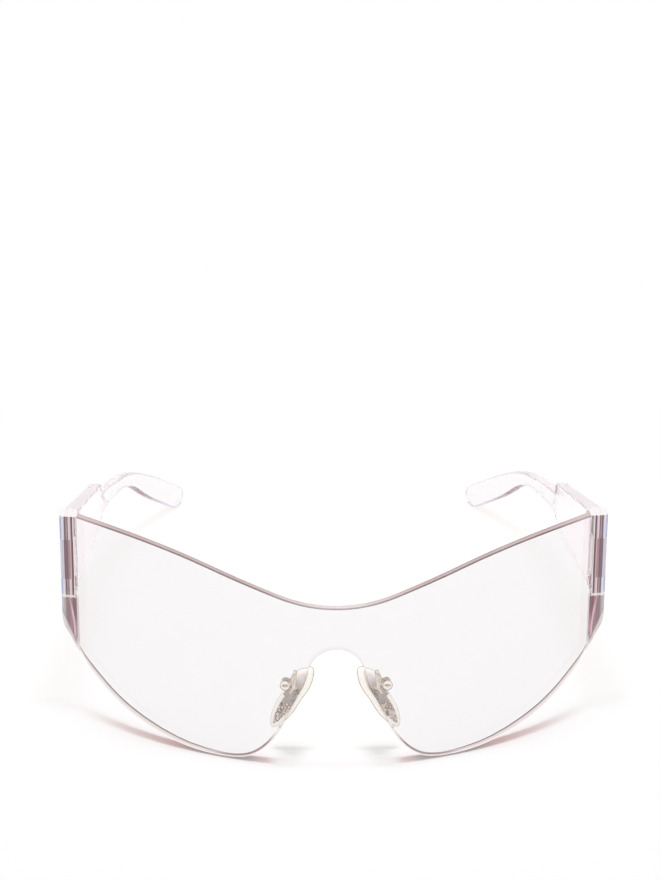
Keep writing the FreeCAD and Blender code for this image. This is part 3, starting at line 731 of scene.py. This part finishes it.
# Directions, as shares of a unit length: where the dark side starts, the ceiling over it,
# and the middle and edge of the two tall windows that break it
DARK_START = (-0.15, -0.45)
CEILING = (0.92, 0.80)
WINDOW_MIDDLE = 0.36
WINDOW_EDGE = (0.09, 0.05)
FLOOR_TONE = grey(0.78)
FLOOR_GLOW = 0.24
# Lengths in metres from the middle of the floor
FLOOR_SIZE = 4.0
FLOOR_FADE = (0.12, 0.20)
FLOOR_DARK_END = (-0.50, -0.70)


def add_world():
    """A white room for camera, metal and glass, dark on the side behind the camera."""
    world = bpy.data.worlds.new("studio")
    finish = Finish(world)
    direction = finish.node("ShaderNodeTexCoord", output="Generated")
    behind = finish.step(finish.axis(direction, "Y"), DARK_START)
    below_lamp = finish.step(finish.axis(direction, "Z"), CEILING)
    across = abs(finish.axis(direction, "X"))
    window = finish.step(abs(across - WINDOW_MIDDLE), WINDOW_EDGE)
    room = finish.mix(behind * below_lamp * (1.0 - window), WHITE, DARK_SIDE)
    seen = finish.ray("Is Glossy Ray", "Is Transmission Ray")
    tone = finish.mix(seen, ROOM_LIGHT, room)
    tone = finish.mix(finish.ray("Is Camera Ray"), tone, WHITE)
    finish.surface(finish.node("ShaderNodeBackground", {}, {"Color": tone, "Strength": 1.0}))
    bpy.context.scene.world = world


def add_floor():
    """A pale floor that is plain white away from the glasses, and dark behind the camera."""
    mesh = bpy.data.meshes.new("floor")
    work = bmesh.new()
    bmesh.ops.create_grid(work, x_segments=1, y_segments=1, size=FLOOR_SIZE)
    work.to_mesh(mesh)
    work.free()
    floor = bpy.data.objects.new("floor", mesh)
    bpy.context.scene.collection.objects.link(floor)
    finish = new_finish("floor")
    diffuse = finish.node("ShaderNodeBsdfDiffuse", {}, {"Color": FLOOR_TONE})
    away = finish.vector("LENGTH", {0: finish.place()}, "Value")
    seen = finish.ray("Is Camera Ray", "Is Glossy Ray", "Is Transmission Ray")
    glow = finish.emission(WHITE, FLOOR_GLOW * seen)
    lit = finish.node("ShaderNodeAddShader", {}, {0: diffuse, 1: glow})
    lit = finish.blend(finish.step(away, FLOOR_FADE), lit, finish.emission(WHITE))
    far = finish.step(finish.axis(finish.place(), "Y"), FLOOR_DARK_END)
    beyond = far * finish.ray("Is Glossy Ray", "Is Transmission Ray")
    finish.surface(finish.blend(beyond, lit, finish.emission(DARK_SIDE)))
    mesh.materials.append(finish.owner)


def add_lamp(name, place, width, depth, power):
    """A soft box that looks straight down; metal and glass see the white room instead."""
    data = bpy.data.lights.new(name, "AREA")
    data.shape = "RECTANGLE"
    data.size = width
    data.size_y = depth
    data.energy = power
    lamp = bpy.data.objects.new(name, data)
    lamp.location = place
    bpy.context.scene.collection.objects.link(lamp)
    lamp.visible_glossy = False
    lamp.visible_transmission = False
    lamp.visible_camera = False


scene = bpy.context.scene
scene.view_settings.view_transform = "Standard"
scene.cycles.caustics_reflective = False
scene.cycles.caustics_refractive = False
scene.cycles.max_bounces = 256
scene.cycles.transmission_bounces = 256
scene.cycles.glossy_bounces = 64
scene.cycles.transparent_max_bounces = 24

add_camera()
add_world()
add_floor()
add_lamp("overhead", (0.0, 0.06, 0.90), width=0.26, depth=0.055, power=3.30)
add_lamp("overhead_wide", (0.0, 0.02, 0.90), width=0.45, depth=0.40, power=1.50)

# Pieces


def dress(node, finish):
    """Gives a CAD node its finish and leaves its shape as it is."""
    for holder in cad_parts[node].material_slots:
        holder.material = finish


lens_glass = lens_finish()
post_glass = post_finish()
temple_glass = temple_finish()
bush_glass = bush_finish()
nickel = metal("nickel_polished", rgb(0.90, 0.84, 0.78), rgb(0.74, 0.68, 0.62),
               roughness=0.16, scratch=0.05, sheer=0.68)
arm_nickel = metal("arm_nickel", rgb(0.96, 0.88, 0.80), rgb(0.66, 0.58, 0.50),
                   roughness=0.16, scratch=0.05, sheer=0.68, glow=0.20)
turned = metal("steel_turned", rgb(0.66, 0.63, 0.62), rgb(0.58, 0.55, 0.54),
               roughness=0.25, scratch=0.03, sheer=0.96)
plated = pressed_plate("steel_pressed")
rubber = silicone("silicone_cream")

finishes = {
    "shield_lens": lens_glass,
    "end_post": post_glass,
    "temple": temple_glass,
    "hinge_screw": turned,
    "hinge_sleeve": turned,
    "hinge_washers": turned,
    "knuckle_bush": turned,
    "lens_screw": nickel,
    "lens_bush": bush_glass,
    "pad_arm": arm_nickel,
    "pad_screw": nickel,
    "nose_pad": rubber,
    "pad_core": plated,
}
for node in sorted(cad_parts):
    kind = node.split("_", 1)[1] if node.startswith(("left_", "right_")) else node
    dress(node, finishes[kind])
